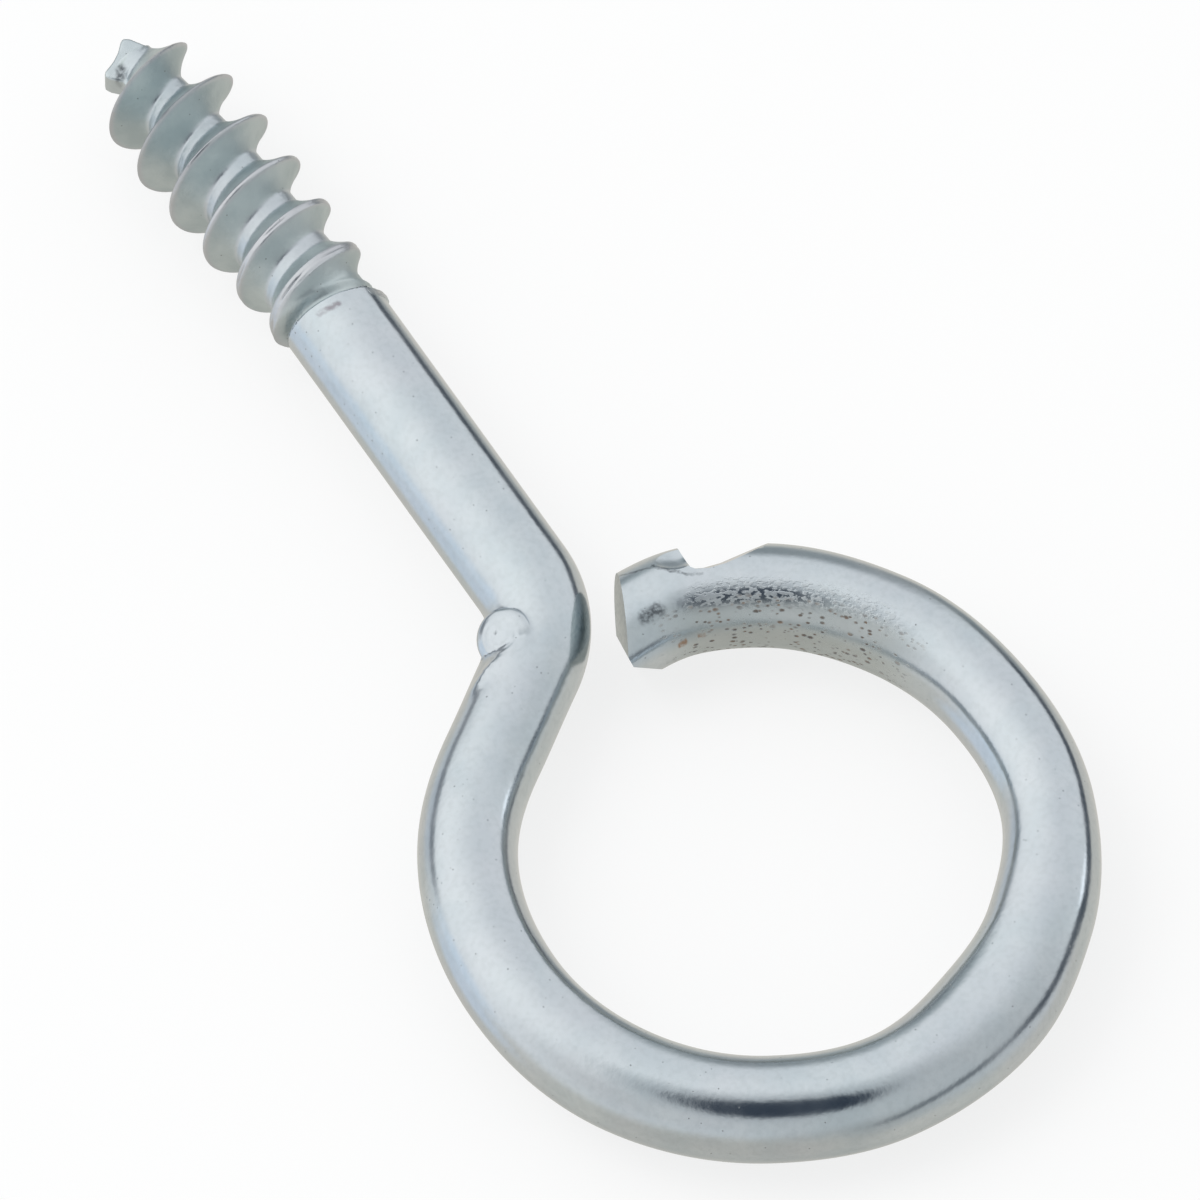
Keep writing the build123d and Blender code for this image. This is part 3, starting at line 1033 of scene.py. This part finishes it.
# %% Camera
CAMERA_AZIMUTH = -32.4
CAMERA_ELEVATION = 61.2
VIEW_WIDTH = 69.77 * MM
DISTANCE = 2.8  # a long lens from far away, for a view with hardly any foreshortening
target = Vector((1.173, 19.116, -0.046)) * MM
to_camera = direction(CAMERA_AZIMUTH - 90, CAMERA_ELEVATION)
camera = bpy.data.objects.new("camera", bpy.data.cameras.new("camera"))
bpy.context.scene.collection.objects.link(camera)
camera.location = target + to_camera * DISTANCE
camera.rotation_euler = (-to_camera).to_track_quat("-Z", "Y").to_euler()
camera.data.sensor_width = 36
camera.data.lens = camera.data.sensor_width * DISTANCE / VIEW_WIDTH
camera.data.clip_start = 0.01
bpy.context.scene.camera = camera
print("camera at", camera.location, "lens", camera.data.lens)

# %% [markdown]
# ## The light tent
# The tent is painted on the world. A patch is a soft round spot of brightness round a direction. A gap is a
# soft dark band between two directions, such as a seam of the tent. The camera itself sees plain white.

# %% Patches of the tent
patch, source, sink = new_group(
    "tent_patch",
    (
        ("Direction", "Vector", None),
        ("Centre", "Vector", (0, 0, 1)),
        ("Full", "Float", 0.2),
        ("Gone", "Float", 0.4),
    ),
    (("Mask", "Float"),),
)
cosine = vector_node(patch, "DOT_PRODUCT", source["Direction"], source["Centre"], "Value")
angle = math_node(patch, "ARCCOSINE", math_node(patch, "MINIMUM", cosine, 0.99999))
patch.links.new(soft_step(patch, angle, source["Gone"], source["Full"]), sink["Mask"])

# %% The empty tent
UPPER = (0.92, 0.93, 0.94, 1)
LOWER = (0.74, 0.71, 0.65, 1)
world = bpy.data.worlds.new("light_tent")
bpy.context.scene.world = world
world.use_nodes = True
tree = world.node_tree
backdrop = tree.nodes["Background"]
aim = add(tree, "ShaderNodeTexCoord").outputs["Generated"]
height = add(tree, "ShaderNodeSeparateXYZ", Vector=aim).outputs["Z"]
tent = mix(tree, soft_step(tree, height, 0.06, -0.42), UPPER, LOWER)


def tent_patch(azimuth, rise, full, gone):
    """Round patch, full up to one angle from its middle and gone at another, in degrees."""
    centre, full, gone = tuple(direction(azimuth, rise)), math.radians(full), math.radians(gone)
    return place_group(tree, patch, Direction=aim, Centre=centre, Full=full, Gone=gone)["Mask"]


def tent_gap(first, second, full, gone):
    """Band along the great circle through two directions, in degrees to each side of it."""
    pole = direction(*first).cross(direction(*second)).normalized()
    side = math_node(tree, "ABSOLUTE", vector_node(tree, "DOT_PRODUCT", aim, tuple(pole), "Value"))
    return soft_step(tree, side, math.sin(math.radians(gone)), math.sin(math.radians(full)))


# %% Glow and shade of the tent
# azimuth, rise, full up to, gone at, colour
PATCHES = (
    (138, 38, 5, 80, (1.2, 1.2, 1.18, 1)),
    (280, 28, 28, 72, (0.66, 0.68, 0.68, 1)),
    (205, 22, 8, 48, (0.78, 0.775, 0.77, 1)),
    (262, -12, 8, 30, (0.55, 0.56, 0.55, 1)),
    (235, -38, 10, 45, (0.64, 0.61, 0.56, 1)),
    (220, -88, 12, 42, (0.60, 0.585, 0.54, 1)),
    (57, -2, 8, 30, (0.38, 0.41, 0.42, 1)),
    (83, 8, 4, 20, (0.40, 0.45, 0.46, 1)),
    (34, -17, 4, 18, (0.32, 0.35, 0.36, 1)),
    (112, -12, 5, 24, (0.68, 0.72, 0.76, 1)),
    (148, -10, 4, 20, (0.9, 0.99, 1.08, 1)),
    (147, -30, 6, 22, (0.82, 0.88, 0.95, 1)),
    (347, 2, 2, 8, (1.7, 1.75, 1.8, 1)),
)
for azimuth, rise, full, gone, tone in PATCHES:
    tent = mix(tree, tent_patch(azimuth, rise, full, gone), tent, tone)

# %% Gaps of the tent
GAP = (0.10, 0.115, 0.135, 1)
# two directions, full up to, gone at, the patch that the gap is kept to, strength
GAPS = (
    ((265, -9), (303, 9), 1.5, 8, (286, 1, 14, 30), 0.8),
    ((311, 11), (343, -7), 3.0, 9, (327, 2, 17, 25), 1.0),
    ((345, -8), (24, -9), 4.0, 10.5, (4, -9, 22, 33), 1.0),
    ((82, 0), (125, -4), 3.0, 10.0, (104, -2, 22, 34), 0.7),
)
for first, second, full, gone, around, share in GAPS:
    shown = math_node(tree, "MULTIPLY", tent_gap(first, second, full, gone), tent_patch(*around))
    tent = mix(tree, math_node(tree, "MULTIPLY", shown, share), tent, GAP)

# %% Opening of the tent
FRONT = (0.60, 0.62, 0.63, 1)  # the side of the tent round the camera
OPENING = (0.045, 0.06, 0.085, 1)
tent = mix(tree, tent_patch(CAMERA_AZIMUTH - 90, CAMERA_ELEVATION, 16, 38), tent, FRONT)
tent = mix(tree, tent_patch(243, 59, 13.5, 23.5), tent, OPENING)
rays = add(tree, "ShaderNodeLightPath").outputs["Is Camera Ray"]
tree.links.new(mix(tree, rays, tent, (1, 1, 1, 1)), backdrop.inputs["Color"])
backdrop.inputs["Strength"].default_value = 1.0

# %% Soft box
LAMP_SIZE, LAMP_POWER, LAMP_DISTANCE = 0.4, 0.8, 0.7
lamp = bpy.data.objects.new("soft_box", bpy.data.lights.new("soft_box", "AREA"))
bpy.context.scene.collection.objects.link(lamp)
lamp.data.size = LAMP_SIZE
lamp.data.energy = LAMP_POWER
lamp.location = direction(140, 55) * LAMP_DISTANCE
lamp.rotation_euler = (-lamp.location).to_track_quat("-Z", "Y").to_euler()
lamp.visible_glossy = False  # the tent's glow is what the wire mirrors

# %% Finish
bpy.context.scene.view_settings.view_transform = "Standard"
